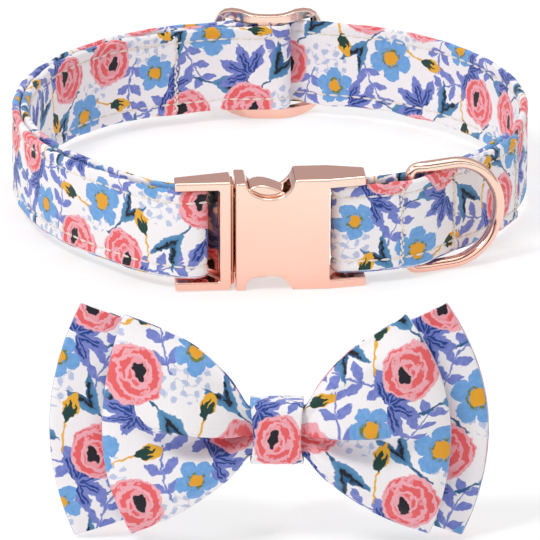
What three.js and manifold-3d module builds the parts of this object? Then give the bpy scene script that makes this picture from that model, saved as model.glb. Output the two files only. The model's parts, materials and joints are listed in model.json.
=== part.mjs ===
// Pet bow tie collar: a printed cotton collar standing on its edge, closed by a metal
// side-release buckle, with a slider and a D-ring, and its matching bow tie standing in front.
// Millimetres, +Z up. The origin is the middle of the footprint, on the surface.

import * as THREE from 'three';
import { mergeVertices } from 'three/addons/utils/BufferGeometryUtils.js';
import Module from 'manifold-3d';

const wasm = await Module();
wasm.setup();

// ---- driving sizes ----
const GAP = 0.3;                 // between pieces that touch on the real collar
const DEG = Math.PI / 180;

const STRAP_HEIGHT = 24.5;
const STRAP_THICKNESS = 2.0;
const STRAP_MID_Z = 15.5;        // height of the strap's middle above the surface
const RUN_RADIUS = 69.0;         // centre line of the outer layer

const BAR_RADIUS = 1.3;          // hidden bars that the strap folds round
const WRAP_RADIUS = BAR_RADIUS + GAP + STRAP_THICKNESS / 2;
const WRAP_SPLIT = 11 * DEG;     // half the gap between two strap pieces on a bar

const BUCKLE = { y: -67.5, yaw: 4 * DEG, height: 30.6, halfDepth: 6.0, arm: 2.55 };
const MALE = { left: -25.4, right: -10.6, post: 3.0, bar: { x: -19.9, y: -1.6 } };
const FEMALE = { left: -9.4, plateEnd: 15.3, right: 25.1, bar: { x: 19.5, y: 0 } };
const MOUTH = { end: 11.0, halfDepth: 4.2, wall: 2.6, lowRim: -6.5 };

const RING = {
  bar: { x: 37.0, y: -60.9 },    // the hinge line of the D-ring
  yaw: 24 * DEG,                 // rest angle of the ring, back from +X
  straight: 12.0, halfHeight: 15.5, corner: 2.0,
  swell: 4.0,                    // how far from the hinge line the wire is at its broadest
  wire: 3.0, wireDepth: 4.2, barWire: 2.8,
};

const SLIDER = {
  x: -0.6, railY: 70.75, barY: 65.0, width: 31.2, bottom: 0.0, top: 31.0,
  thickness: 2.4, rail: 3.0, shelf: 2.8, barLeft: -3.4, barRight: 2.2,
};

const BOW = { x: 1.7, y: -242.5, lean: 9 * DEG, wall: 1.5, rows: 10 };
const KNOT = { width: 13.0, height: 15.4, depth: 12.6, wall: 1.5 };
const ELASTIC = { width: 10.0, height: 14.6, depth: 8.0, wall: 1.2, drop: 2.8 };

// ---- finishes ----
const roseGold = () => new THREE.MeshStandardMaterial({ color: 0xf0b09a, metalness: 1, roughness: 0.2 });
const cotton = () => new THREE.MeshStandardMaterial({ color: 0xe9e2ee, metalness: 0, roughness: 0.9 });
const knit = () => new THREE.MeshStandardMaterial({ color: 0xf4f1ee, metalness: 0, roughness: 0.95 });

// ---- helpers ----
const v2 = (x, y) => new THREE.Vector2(x, y);
const polar = (degrees, radius) => v2(radius * Math.cos(degrees * DEG), radius * Math.sin(degrees * DEG));

function toSolid(geometry) {
  const plain = geometry.clone();
  plain.deleteAttribute('normal');
  plain.deleteAttribute('uv');
  const merged = mergeVertices(plain, 1e-5);
  return new wasm.Manifold(new wasm.Mesh({
    numProp: 3,
    vertProperties: new Float32Array(merged.attributes.position.array),
    triVerts: new Uint32Array(merged.index.array),
  }));
}

function toGeometry(solid) {
  const mesh = solid.getMesh();
  const geometry = new THREE.BufferGeometry();
  geometry.setAttribute('position', new THREE.BufferAttribute(mesh.vertProperties, mesh.numProp));
  geometry.setIndex(new THREE.BufferAttribute(mesh.triVerts, 1));
  geometry.computeVertexNormals();
  return geometry;
}

function box(x0, x1, y0, y1, z0, z1) {
  const geometry = new THREE.BoxGeometry(x1 - x0, y1 - y0, z1 - z0);
  return toSolid(geometry.translate((x0 + x1) / 2, (y0 + y1) / 2, (z0 + z1) / 2));
}

function post(x, y, radius, z0, z1) {
  const geometry = new THREE.CylinderGeometry(radius, radius, z1 - z0, 16).rotateX(Math.PI / 2);
  return toSolid(geometry.translate(x, y, (z0 + z1) / 2));
}

// A plan outline (X, Y) raised along Z.
function raised(shape, z0, z1) {
  const geometry = new THREE.ExtrudeGeometry(shape, { depth: z1 - z0, bevelEnabled: false });
  return geometry.translate(0, 0, z0);
}

// A front outline (X, Z) given a depth from y0 to y1.
function fronted(shape, y0, y1, curveSegments = 12) {
  const geometry = new THREE.ExtrudeGeometry(shape, { depth: y1 - y0, bevelEnabled: false, curveSegments });
  return geometry.rotateX(Math.PI / 2).translate(0, y1, 0);
}

// A smooth line through hand-set points, sampled about every `step` millimetres.
function smooth(points, step) {
  const curve = new THREE.CatmullRomCurve3(points.map((p) => new THREE.Vector3(p.x, p.y, 0)), false, 'centripetal');
  return curve.getSpacedPoints(Math.ceil(curve.getLength() / step)).map((p) => v2(p.x, p.y));
}

function arc(centre, radius, from, to, steps) {
  const points = [];
  for (let i = 0; i <= steps; i += 1) {
    const angle = from + ((to - from) * i) / steps;
    points.push(v2(centre.x + radius * Math.cos(angle), centre.y + radius * Math.sin(angle)));
  }
  return points;
}

// The plan outline of a centre line given a thickness.
function bandShape(line, thickness) {
  const left = [];
  const right = [];
  line.forEach((point, i) => {
    const before = line[Math.max(i - 1, 0)];
    const after = line[Math.min(i + 1, line.length - 1)];
    const along = after.clone().sub(before).normalize();
    const offset = v2(-along.y, along.x).multiplyScalar(thickness / 2);
    left.push(point.clone().add(offset));
    right.push(point.clone().sub(offset));
  });
  return new THREE.Shape(left.concat(right.reverse()));
}

// A strap standing on its edge.
function strap(line) {
  const half = STRAP_HEIGHT / 2;
  return raised(bandShape(line, STRAP_THICKNESS), STRAP_MID_Z - half, STRAP_MID_Z + half);
}

// A closed skin through rows of points that go round; the last row joins the first.
function skin(rows) {
  const count = rows[0].length;
  const positions = rows.flat().flatMap((p) => [p.x, p.y, p.z]);
  const faces = [];
  for (let i = 0; i < rows.length; i += 1) {
    const next = (i + 1) % rows.length;
    for (let j = 0; j < count; j += 1) {
      const a = i * count + j;
      const b = i * count + ((j + 1) % count);
      const c = next * count + ((j + 1) % count);
      const d = next * count + j;
      faces.push(a, c, b, a, d, c);
    }
  }
  const geometry = new THREE.BufferGeometry();
  geometry.setAttribute('position', new THREE.Float32BufferAttribute(positions, 3));
  geometry.setIndex(faces);
  geometry.computeVertexNormals();
  return geometry;
}

function piece(name, geometry, material) {
  const mesh = new THREE.Mesh(geometry, material);
  mesh.name = name;
  return mesh;
}

// A point of the buckle's own frame, in plan.
function buckleToPlan(x, y) {
  const c = Math.cos(BUCKLE.yaw);
  const s = Math.sin(BUCKLE.yaw);
  return v2(x * c - y * s, BUCKLE.y + x * s + y * c);
}

// ---- buckle, in its own frame: x along the strap, y from front to back ----
const LEVER_FRONT = 3.9;

// The notch in the top or bottom edge that lets a finger reach the spring lever.
function fingerNotch(top) {
  const edge = top ? BUCKLE.height : 0;
  const into = top ? -1 : 1;
  const rows = top
    ? [{ x: -6.6, in: -1 }, { x: -6.4, in: 1.6 }, { x: -4.4, in: 3.9 }, { x: -1.2, in: 5.1 },
      { x: 2.2, in: 4.7 }, { x: 4.8, in: 3.0 }, { x: 6.5, in: -0.2 }, { x: 6.9, in: -1 }]
    : [{ x: -6.8, in: -1 }, { x: -6.5, in: 1.9 }, { x: -4.8, in: 3.4 }, { x: -0.6, in: 3.9 },
      { x: 2.8, in: 3.3 }, { x: 5.6, in: 0.3 }, { x: 6.6, in: -1 }];
  const points = rows.map((row) => v2(row.x, edge + into * row.in));
  const shape = new THREE.Shape();
  shape.moveTo(points[0].x, points[0].y);
  shape.splineThru(points.slice(1));
  return toSolid(fronted(shape, -BUCKLE.halfDepth - 1, BUCKLE.halfDepth + 1, 3));
}

function femaleHalf() {
  const { height, halfDepth, arm } = BUCKLE;
  const { left, plateEnd, right, bar } = FEMALE;
  const plan = new THREE.Shape([
    v2(left, -halfDepth), v2(plateEnd, -halfDepth), v2(right, -halfDepth + 1.8),
    v2(right, halfDepth - 2.4), v2(plateEnd, halfDepth), v2(left, halfDepth),
  ]);
  const mouthTop = height - MOUTH.wall;
  return toSolid(raised(plan, 0, height))
    .subtract(box(plateEnd, right + 1, -halfDepth - 1, halfDepth + 1, arm, height - arm))
    .subtract(box(left - 1, MOUTH.end, -MOUTH.halfDepth, MOUTH.halfDepth, MOUTH.wall, mouthTop))
    .subtract(box(left - 1, MOUTH.lowRim, -halfDepth - 1, halfDepth + 1, height - 0.7, height + 1))
    .subtract(fingerNotch(true))
    .subtract(fingerNotch(false))
    .add(post(bar.x, bar.y, BAR_RADIUS, arm - 0.5, height - arm + 0.5));
}

// A spring lever of the plug: a leaf that springs out of the stem and bows into the finger notch.
function springLever(top) {
  const rows = [
    { x: -12.0, out: 9.4 }, { x: -8.0, out: 10.4 }, { x: -5.2, out: 12.7 }, { x: -2.4, out: 13.3 },
    { x: 1.4, out: 12.2 }, { x: 5.6, out: 9.9 }, { x: 6.4, out: 8.4 }, { x: 1.4, out: 9.0 },
    { x: -3.0, out: 9.0 }, { x: -7.6, out: 7.4 }, { x: -12.0, out: 6.6 },
  ];
  const side = top ? 1 : -0.94;
  const middle = BUCKLE.height / 2;
  const points = rows.map((row) => v2(row.x, middle + side * row.out));
  if (!top) points.reverse();
  const shape = new THREE.Shape();
  shape.moveTo(points[0].x, points[0].y);
  shape.splineThru(points.slice(1));
  return toSolid(fronted(shape, -LEVER_FRONT, LEVER_FRONT, 2));
}

function maleHalf() {
  const { height, halfDepth, arm } = BUCKLE;
  const { left, right, post: postWidth, bar } = MALE;
  const front = -halfDepth + 0.2;
  const plan = new THREE.Shape([
    v2(left, front), v2(right, front), v2(right, front + 9.2), v2(left, front + 5.6),
  ]);
  // A thin curved wall that closes the back of the slot beside the bar.
  const web = new THREE.Shape([
    v2(-13.4, -3.4), v2(-13.8, -3.2), v2(-15.2, -0.6), v2(-16.9, 1.6), v2(-18.2, 2.5),
    v2(-17.9, 3.2), v2(-16.3, 2.4), v2(-14.4, 0.0), v2(-13.2, -2.0),
  ]);
  const low = 0.3;
  const high = height - 0.3;
  const stemHalf = 2.4;
  const middle = height / 2;
  return toSolid(raised(plan, low, high))
    .subtract(box(left - 1, right - postWidth, -halfDepth - 1, halfDepth + 1, arm, height - arm))
    .add(post(bar.x, bar.y, BAR_RADIUS, arm - 0.5, height - arm + 0.5))
    .add(toSolid(raised(web, arm - 0.5, height - arm + 0.5)))
    .add(box(right - 1, FEMALE.left - 0.35, -4.4, 3.0, low + 1.1, high - 1.1))
    .add(box(right - 1, FEMALE.left + 1.2, -LEVER_FRONT, 3.0, middle - 10.6, middle + 10.6))
    .add(box(right - 1, 8.6, -2.2, 2.2, middle - stemHalf, middle + stemHalf))
    .add(springLever(true))
    .add(springLever(false));
}

// ---- strap centre lines, in plan ----
const maleBar = buckleToPlan(MALE.bar.x, MALE.bar.y);
const femaleBar = buckleToPlan(FEMALE.bar.x, FEMALE.bar.y);
const backward = v2(-Math.sin(BUCKLE.yaw), Math.cos(BUCKLE.yaw));
const sideways = v2(Math.cos(BUCKLE.yaw), Math.sin(BUCKLE.yaw));
const wrapFrom = BUCKLE.yaw;

// A point of the strap behind (1) or before (-1) a bar, moved `along` the buckle.
function beside(bar, side, along = 0) {
  return bar.clone().addScaledVector(backward, side * WRAP_RADIUS).addScaledVector(sideways, along);
}

// Degrees round the collar from +X, and the centre line's radius there.
const OUTER_RIGHT = [
  { at: -66, radius: 67.6 }, { at: -58.7, radius: 68.5 }, { at: -48, radius: 68.7 }, { at: -36, radius: 69.0 },
  { at: -18, radius: RUN_RADIUS }, { at: 0, radius: RUN_RADIUS }, { at: 20, radius: RUN_RADIUS },
  { at: 40, radius: RUN_RADIUS }, { at: 58, radius: RUN_RADIUS }, { at: 70, radius: 68.5 },
  { at: 77, radius: 68.0 }, { at: 83, radius: 69.2 }, { at: 90, radius: 70.0 }, { at: 97, radius: 69.2 },
  { at: 103, radius: 68.0 }, { at: 110, radius: 68.5 }, { at: 122, radius: RUN_RADIUS },
  { at: 140, radius: RUN_RADIUS }, { at: 160, radius: RUN_RADIUS }, { at: 180, radius: RUN_RADIUS },
];
const OUTER_LEFT = [
  { x: -65.7, y: -23.0 }, { x: -56.7, y: -42.6 }, { x: -43.4, y: -58.8 }, { x: -31.5, y: -69.4 },
];
const INNER_LEFT = [
  { x: -32.6, y: -63.4 }, { x: -48.8, y: -46.8 }, { x: -58.6, y: -32.8 }, { x: -64.6, y: -17.6 },
];
const INNER_BACK = [
  { at: 180, radius: 66.65 }, { at: 160, radius: 66.65 }, { at: 142, radius: 66.6 },
  { at: 130, radius: 66.1 }, { at: 122, radius: 64.9 }, { at: 115, radius: 63.9 }, { at: 108, radius: 63.5 },
  { at: 101, radius: 63.3 },
];
const TAIL = [
  { at: 97.5, radius: 66.7 }, { at: 103, radius: 65.62 }, { at: 109, radius: 66.1 }, { at: 115.5, radius: 66.4 },
];
const FOLD = [
  { at: -66, radius: 73.4 }, { at: -62, radius: 74.05 }, { at: -58.7, radius: 74.25 }, { at: -55.5, radius: 73.75 },
  { at: -51, radius: 72.1 }, { at: -47, radius: 71.1 }, { at: -40, radius: 71.25 }, { at: -31, radius: 71.35 },
  { at: -22.7, radius: 71.35 },
];
const STEP = 4.2;
const LEAD = 2.6;                // straight strap beside a bar
const byAngle = (rows) => rows.map((row) => polar(row.at, row.radius));
const byPlan = (rows) => rows.map((row) => v2(row.x, row.y));

function outerRunLine() {
  const start = arc(femaleBar, WRAP_RADIUS, Math.PI - WRAP_SPLIT, Math.PI / 2 + wrapFrom, 5);
  const end = arc(maleBar, WRAP_RADIUS, -Math.PI / 2 + wrapFrom, -WRAP_SPLIT, 5);
  const run = smooth([
    beside(femaleBar, 1), beside(femaleBar, 1, LEAD), ...byAngle(OUTER_RIGHT), ...byPlan(OUTER_LEFT),
    beside(maleBar, -1, -LEAD), beside(maleBar, -1),
  ], STEP);
  return [...start.slice(0, -1), ...run, ...end.slice(1)];
}

function innerRunLine() {
  const turn = v2(SLIDER.barRight, SLIDER.barY);
  const start = arc(maleBar, WRAP_RADIUS, WRAP_SPLIT, Math.PI / 2 + wrapFrom, 5);
  const run = smooth([
    beside(maleBar, 1), beside(maleBar, 1, -LEAD), ...byPlan(INNER_LEFT), ...byAngle(INNER_BACK),
    v2(-4.5, turn.y - WRAP_RADIUS - 0.1), v2(turn.x, turn.y - WRAP_RADIUS),
  ], STEP);
  const loop = arc(turn, WRAP_RADIUS, -Math.PI / 2, Math.PI / 2, 8);
  const tail = smooth([v2(turn.x, turn.y + WRAP_RADIUS), v2(-2.5, turn.y + WRAP_RADIUS), ...byAngle(TAIL)], STEP);
  return [...start.slice(0, -1), ...run, ...loop.slice(1, -1), ...tail];
}

function foldLine() {
  const start = arc(femaleBar, WRAP_RADIUS, Math.PI + WRAP_SPLIT, 1.5 * Math.PI + wrapFrom, 5);
  const run = smooth([beside(femaleBar, -1), beside(femaleBar, -1, LEAD), ...byAngle(FOLD)], STEP);
  return [...start.slice(0, -1), ...run];
}

// ---- D-ring: a closed wire, round where it turns in the strap and wider outside ----
function dRing() {
  const { straight, halfHeight, corner, swell, wire, wireDepth, barWire } = RING;
  const mid = halfHeight - wire / 2;
  const line = [];
  const put = (along, up, turn) => line.push({ along, up, turn });
  const barEnd = mid - corner;
  for (const up of [-barEnd, -barEnd / 3, barEnd / 3, barEnd]) put(0, up, Math.PI);
  for (let i = 1; i <= 4; i += 1) {
    const a = Math.PI - (i / 4) * (Math.PI / 2);
    put(corner + corner * Math.cos(a), barEnd + corner * Math.sin(a), a);
  }
  put(swell, mid, Math.PI / 2);
  const last = 14;
  for (let i = 0; i <= last; i += 1) {
    const a = Math.PI / 2 - (i / last) * Math.PI;
    put(straight + mid * Math.cos(a), mid * Math.sin(a), a);
  }
  put(swell, -mid, -Math.PI / 2);
  for (let i = 0; i < 4; i += 1) {
    const a = -Math.PI / 2 - (i / 4) * (Math.PI / 2);
    put(corner + corner * Math.cos(a), -barEnd + corner * Math.sin(a), a);
  }
  const sides = 10;
  const rows = line.map(({ along, up, turn }) => {
    const outside = THREE.MathUtils.smoothstep(along, 0.2, swell);
    const deep = THREE.MathUtils.lerp(barWire, wireDepth, outside) / 2;
    const flat = THREE.MathUtils.lerp(barWire, wire, outside) / 2;
    const row = [];
    for (let j = 0; j < sides; j += 1) {
      const a = ((j + 0.5) / sides) * 2 * Math.PI;
      const out = flat * Math.cos(a);
      row.push(new THREE.Vector3(
        along + out * Math.cos(turn), deep * Math.sin(a), STRAP_MID_Z + up + out * Math.sin(turn),
      ));
    }
    return row;
  });
  return skin(rows);
}

// ---- slider: a bowed frame with a recessed centre bar ----
function sliderFrame() {
  const { width, bottom, top, thickness, rail, shelf, barLeft, barRight, railY, barY, x } = SLIDER;
  const half = width / 2;
  const round = 8;
  const outline = new THREE.Shape();
  outline.moveTo(-half + round, bottom);
  outline.lineTo(half - round, bottom);
  outline.quadraticCurveTo(half, bottom, half, bottom + round);
  outline.lineTo(half, top - round);
  outline.quadraticCurveTo(half, top, half - round, top);
  outline.quadraticCurveTo(0, top - 1.6, -half + round, top);
  outline.quadraticCurveTo(-half, top, -half, top - round);
  outline.lineTo(-half, bottom + round);
  outline.quadraticCurveTo(-half, bottom, -half + round, bottom);
  const dip = 0.2;               // how much lower the window ends beside the centre bar
  const windows = [[-half + rail, barLeft - x], [barRight - x, half - rail]];
  for (const [x0, x1] of windows) {
    const hole = new THREE.Path();
    const low = bottom + shelf;
    const high = top - shelf;
    const lift = x0 < 0 && x1 < 0 ? [0, dip] : [dip, 0];
    hole.moveTo(x0, low + lift[0]);
    hole.lineTo(x0, high - lift[0]);
    hole.lineTo(x1, high - lift[1]);
    hole.lineTo(x1, low + lift[1]);
    hole.closePath();
    outline.holes.push(hole);
  }
  const front = toSolid(fronted(outline, barY - 10, railY + 10, 6).translate(x, 0, 0));
  return toSolid(raised(bandShape(bowedLine(), thickness), bottom, top)).intersect(front);
}

// The slider's centre line in plan: its middle stands forward of its two rails.
function bowedLine() {
  const { width, railY, barY, x } = SLIDER;
  const half = width / 2 + 1;
  const stations = 16;
  const line = [];
  for (let i = 0; i <= stations; i += 1) {
    const from = -half + (2 * half * i) / stations;
    const out = THREE.MathUtils.smoothstep(Math.abs(from), 3.2, half - 2.5);
    line.push(v2(x + from, THREE.MathUtils.lerp(barY, railY, out)));
  }
  return line;
}

// ---- bow tie, in its own frame: origin at the middle of the knot ----
// `at` runs from the knot (0) to the folded edge (1).
const WING_HEIGHT = [
  { at: 0.0, up: 5.5, down: 5.5 }, { at: 0.163, up: 5.6, down: 5.6 }, { at: 0.18, up: 7.3, down: 6.6 },
  { at: 0.225, up: 10.8, down: 8.8 }, { at: 0.3, up: 14.4, down: 12.0 }, { at: 0.44, up: 20.0, down: 16.3 },
  { at: 0.6, up: 23.8, down: 20.0 }, { at: 0.8, up: 26.8, down: 23.2 }, { at: 1.0, up: 29.0, down: 25.6 },
];
const WING_STATIONS = [1, 0.985, 0.94, 0.86, 0.75, 0.62, 0.5, 0.4, 0.3, 0.225, 0.18, 0.163, 0.08];
// `front` and `back` are how far each sheet stands off the loop's middle plane.
const WING_PUFF = [
  { at: 0.0, front: 1.1, back: 1.1 }, { at: 0.163, front: 1.1, back: 1.1 }, { at: 0.3, front: 3.4, back: 1.4 },
  { at: 0.55, front: 6.0, back: 1.6 }, { at: 0.85, front: 6.2, back: 1.6 }, { at: 1.0, front: 5.6, back: 1.6 },
];
// Half-widths of the folded edges at the top, the middle and the bottom of each side.
const FRONT_LOOP = {
  y: -2.3, scale: 1, pleat: 2.2, turned: 1,
  left: { top: 36.4, middle: 41.6, bottom: 34.8 }, right: { top: 30.6, middle: 41.4, bottom: 36.4 },
};
const REAR_LOOP = {
  y: 2.5, scale: 1.06, pleat: 0, turned: -1,
  left: { top: 46.9, middle: 54.4, bottom: 48.6 }, right: { top: 40.6, middle: 50.6, bottom: 44.4 },
};

function lookup(rows, at, key) {
  const last = rows.length - 1;
  const i = Math.min(rows.findIndex((row, n) => n === last || rows[n + 1].at >= at), last - 1);
  const t = (at - rows[i].at) / (rows[i + 1].at - rows[i].at);
  return THREE.MathUtils.lerp(rows[i][key], rows[i + 1][key], THREE.MathUtils.clamp(t, 0, 1));
}

// The point of a loop's middle surface: `turn` goes round the loop and `rise` from -1 to 1.
function loopPoint(loop, turn, rise) {
  const across = Math.cos(turn);
  const at = Math.abs(across);
  const edge = across < 0 ? loop.left : loop.right;
  const corner = rise > 0 ? edge.top : edge.bottom;
  const x = across * THREE.MathUtils.lerp(edge.middle, corner, rise * rise * at * at);
  const tall = lookup(WING_HEIGHT, at, rise > 0 ? 'up' : 'down') * THREE.MathUtils.lerp(1, loop.scale, at);
  const front = Math.sin(turn) * loop.turned < 0;
  const puff = lookup(WING_PUFF, at, front ? 'front' : 'back');
  const round = Math.abs(Math.sin(turn)) ** 0.55;
  const side = Math.sign(Math.sin(turn));
  const pleatFade = THREE.MathUtils.smoothstep(at, 0.16, 0.3) * (1 - THREE.MathUtils.smoothstep(at, 0.5, 0.95));
  const pleat = front ? loop.pleat * pleatFade * Math.exp(-((rise * 4) ** 2)) : 0;
  return new THREE.Vector3(x, loop.y + side * (puff * round - pleat), rise * tall);
}

// The turns round a loop at which it has a column of points.
function loopTurns() {
  const right = WING_STATIONS.map((at) => Math.acos(at));
  const left = right.map((turn) => Math.PI - turn).reverse();
  const half = [...right, Math.PI / 2, ...left];
  return [...half, ...half.slice(1, -1).map((turn) => Math.PI + turn)];
}

function bowLoop(loop) {
  const { wall, rows } = BOW;
  const tiny = 1e-3;
  const inner = [];
  const outer = [];
  for (let j = 0; j <= rows; j += 1) {
    const rise = -1 + (2 * j) / rows;
    const inside = [];
    const outside = [];
    for (const turn of loopTurns()) {
      const point = loopPoint(loop, turn, rise);
      const along = loopPoint(loop, turn + tiny, rise).sub(loopPoint(loop, turn - tiny, rise));
      const out = new THREE.Vector3(along.y, -along.x, 0).normalize();
      outside.push(point.clone().addScaledVector(out, wall / 2));
      inside.push(point.clone().addScaledVector(out, -wall / 2));
    }
    inner.push(inside);
    outer.push(outside);
  }
  return skin([...inner, ...outer.reverse()]);
}

// A band round the X axis: a rounded rectangle with a hole, given its width along X.
function band(width, depth, height, wall, round) {
  const rounded = (path, d, h, r) => {
    path.moveTo(-d + r, -h);
    path.lineTo(d - r, -h);
    path.absarc(d - r, -h + r, r, -Math.PI / 2, 0);
    path.lineTo(d, h - r);
    path.absarc(d - r, h - r, r, 0, Math.PI / 2);
    path.lineTo(-d + r, h);
    path.absarc(-d + r, h - r, r, Math.PI / 2, Math.PI);
    path.lineTo(-d, -h + r);
    path.absarc(-d + r, -h + r, r, Math.PI, 1.5 * Math.PI);
    return path;
  };
  const outline = rounded(new THREE.Shape(), depth / 2, height / 2, round);
  outline.holes.push(rounded(new THREE.Path(), depth / 2 - wall, height / 2 - wall, Math.max(round - wall, 0.6)));
  const geometry = new THREE.ExtrudeGeometry(outline, { depth: width, bevelEnabled: false, curveSegments: 4 });
  return geometry.translate(0, 0, -width / 2).rotateX(Math.PI / 2).rotateZ(Math.PI / 2);
}

function bowTie() {
  const group = new THREE.Group();
  const knot = piece('bow_knot', band(KNOT.width, KNOT.depth, KNOT.height, KNOT.wall, 3.0), cotton());
  const elastic = piece('elastic_loop', band(ELASTIC.width, ELASTIC.depth, ELASTIC.height, ELASTIC.wall, 2.0), knit());
  elastic.position.set(0, KNOT.depth / 2 + GAP + ELASTIC.depth / 2, -ELASTIC.drop);
  group.add(
    piece('bow_front', bowLoop(FRONT_LOOP), cotton()),
    piece('bow_rear', bowLoop(REAR_LOOP), cotton()),
    knot,
    elastic,
  );
  group.rotation.x = -BOW.lean;
  group.position.set(BOW.x, BOW.y, 0);
  group.updateMatrixWorld(true);
  group.position.z = -new THREE.Box3().setFromObject(group, true).min.z;
  return group;
}

// ---- assembly ----
function collar() {
  const group = new THREE.Group();
  const buckle = new THREE.Group();
  buckle.add(
    piece('buckle_female', toGeometry(femaleHalf()), roseGold()),
    piece('buckle_male', toGeometry(maleHalf()), roseGold()),
  );
  buckle.position.y = BUCKLE.y;
  buckle.rotation.z = BUCKLE.yaw;

  const ring = piece('d_ring', dRing(), roseGold());
  ring.position.set(RING.bar.x, RING.bar.y, 0);
  ring.rotation.z = RING.yaw;

  group.add(
    buckle,
    ring,
    piece('slider', toGeometry(sliderFrame()), roseGold()),
    piece('strap_outer_run', strap(outerRunLine()), cotton()),
    piece('strap_inner_run', strap(innerRunLine()), cotton()),
    piece('strap_fold', strap(foldLine()), cotton()),
  );
  return group;
}

// Everything, moved so that the middle of the footprint is the origin.
function assembly() {
  const inner = new THREE.Group();
  inner.add(collar(), bowTie());
  inner.updateMatrixWorld(true);
  const bounds = new THREE.Box3().setFromObject(inner, true);
  const centre = bounds.getCenter(new THREE.Vector3());
  inner.position.set(-centre.x, -centre.y, -bounds.min.z);
  const root = new THREE.Group();
  root.add(inner);
  root.updateMatrixWorld(true);
  return root;
}

export default assembly();
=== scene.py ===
"""Pet bow tie collar: a printed cotton collar with rose-gold fittings, and its bow tie in front."""

import json
import logging
import math
from dataclasses import dataclass, field
from enum import Enum
from typing import Callable, Iterable, Sequence, Union

import bmesh
import bpy
from mathutils import Matrix, Vector, noise


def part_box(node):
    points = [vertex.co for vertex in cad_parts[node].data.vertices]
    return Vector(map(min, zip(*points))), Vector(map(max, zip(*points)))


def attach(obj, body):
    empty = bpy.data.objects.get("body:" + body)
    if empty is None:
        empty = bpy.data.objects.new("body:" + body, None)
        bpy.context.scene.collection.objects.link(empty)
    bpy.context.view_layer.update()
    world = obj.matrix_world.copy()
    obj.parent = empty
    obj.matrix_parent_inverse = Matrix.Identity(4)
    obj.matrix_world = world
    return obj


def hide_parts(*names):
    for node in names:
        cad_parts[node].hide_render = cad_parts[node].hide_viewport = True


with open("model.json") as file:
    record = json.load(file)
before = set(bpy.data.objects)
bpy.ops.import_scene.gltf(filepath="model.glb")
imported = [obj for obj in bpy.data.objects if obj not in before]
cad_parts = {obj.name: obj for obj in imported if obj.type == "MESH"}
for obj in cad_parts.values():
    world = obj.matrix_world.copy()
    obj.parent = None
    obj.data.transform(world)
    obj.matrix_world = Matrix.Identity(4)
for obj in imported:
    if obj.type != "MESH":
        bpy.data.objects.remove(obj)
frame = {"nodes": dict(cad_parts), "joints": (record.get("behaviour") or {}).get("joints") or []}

log = logging.getLogger("collar")
MM = 0.001
SAME_POINT = 0.004 * MM
SAME_WIRE_POINT = 0.002 * MM
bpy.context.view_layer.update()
Row = Sequence[float]


class Body(Enum):
    """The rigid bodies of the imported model."""

    COLLAR = "collar"
    RING = "d_ring"


# ---------------------------------------------------------------- shader maths


def linear(colour: str) -> tuple[float, float, float, float]:
    """Turn a hex colour into linear RGBA.

    Args:
        colour: six hex digits, such as "F26D6D".

    Returns:
        The colour as Blender's sockets take it.
    """
    parts = [int(colour[i:i + 2], 16) / 255 for i in (0, 2, 4)]
    light = [p / 12.92 if p <= 0.04045 else ((p + 0.055) / 1.055) ** 2.4 for p in parts]
    return (*light, 1.0)


class Wire:
    """A socket that can be used in Python expressions, each one adding its Math node."""

    def __init__(self, shader: "Shader", socket: bpy.types.NodeSocket) -> None:
        """Wrap a socket of a shader's tree."""
        self.shader = shader
        self.socket = socket

    def __add__(self, other: "Value") -> "Wire":
        """Add."""
        return self.shader.math("ADD", self, other)

    def __radd__(self, other: "Value") -> "Wire":
        """Add, reflected."""
        return self.shader.math("ADD", other, self)

    def __sub__(self, other: "Value") -> "Wire":
        """Subtract."""
        return self.shader.math("SUBTRACT", self, other)

    def __rsub__(self, other: "Value") -> "Wire":
        """Subtract, reflected."""
        return self.shader.math("SUBTRACT", other, self)

    def __mul__(self, other: "Value") -> "Wire":
        """Multiply."""
        return self.shader.math("MULTIPLY", self, other)

    def __rmul__(self, other: "Value") -> "Wire":
        """Multiply, reflected."""
        return self.shader.math("MULTIPLY", other, self)

    def __truediv__(self, other: "Value") -> "Wire":
        """Divide."""
        return self.shader.math("DIVIDE", self, other)

    def __abs__(self) -> "Wire":
        """Absolute value."""
        return self.shader.math("ABSOLUTE", self)

    def __gt__(self, other: "Value") -> "Wire":
        """One where this is greater than the other, else nought."""
        return self.shader.math("GREATER_THAN", self, other)

    def __lt__(self, other: "Value") -> "Wire":
        """One where this is less than the other, else nought."""
        return self.shader.math("LESS_THAN", self, other)


Value = Union[Wire, float, int]


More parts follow.
